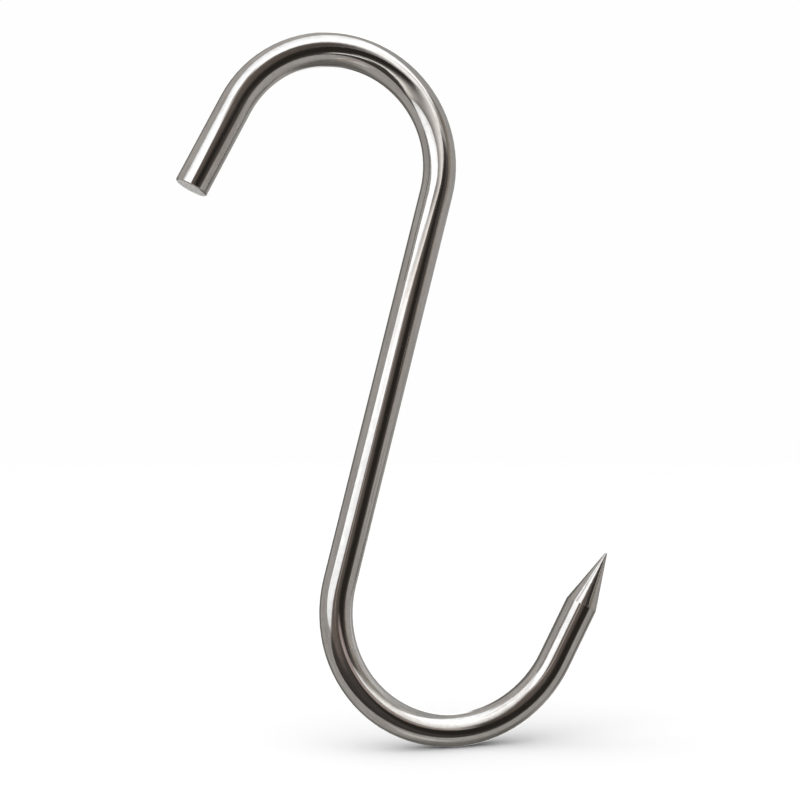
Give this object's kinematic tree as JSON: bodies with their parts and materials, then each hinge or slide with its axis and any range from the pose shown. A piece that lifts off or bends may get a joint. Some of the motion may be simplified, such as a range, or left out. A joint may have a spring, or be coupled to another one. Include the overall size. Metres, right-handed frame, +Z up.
{
  "type": "s hook",
  "caption": "S-shaped butcher's hook bent from one round stainless steel bar, with a rail bend ending in a square cut and a load bend ending in a ground point.",
  "frame": {"origin": "rail seat: the top of the inside of the upper bend, where the hook hangs on a rail", "axes": "+Z up and +Y square to the flat plane of the hook, away from the viewer; the blunt leg is towards -X, the point towards +X, and the shank leans 14.5 degrees towards +X at its top"},
  "size_m": [0.1345, 0.01, 0.2137],
  "materials": {
    "stainless_steel": "polished"
  },
  "bodies": {
    "root": {"hook": "stainless_steel"}
  },
  "joints": []
}
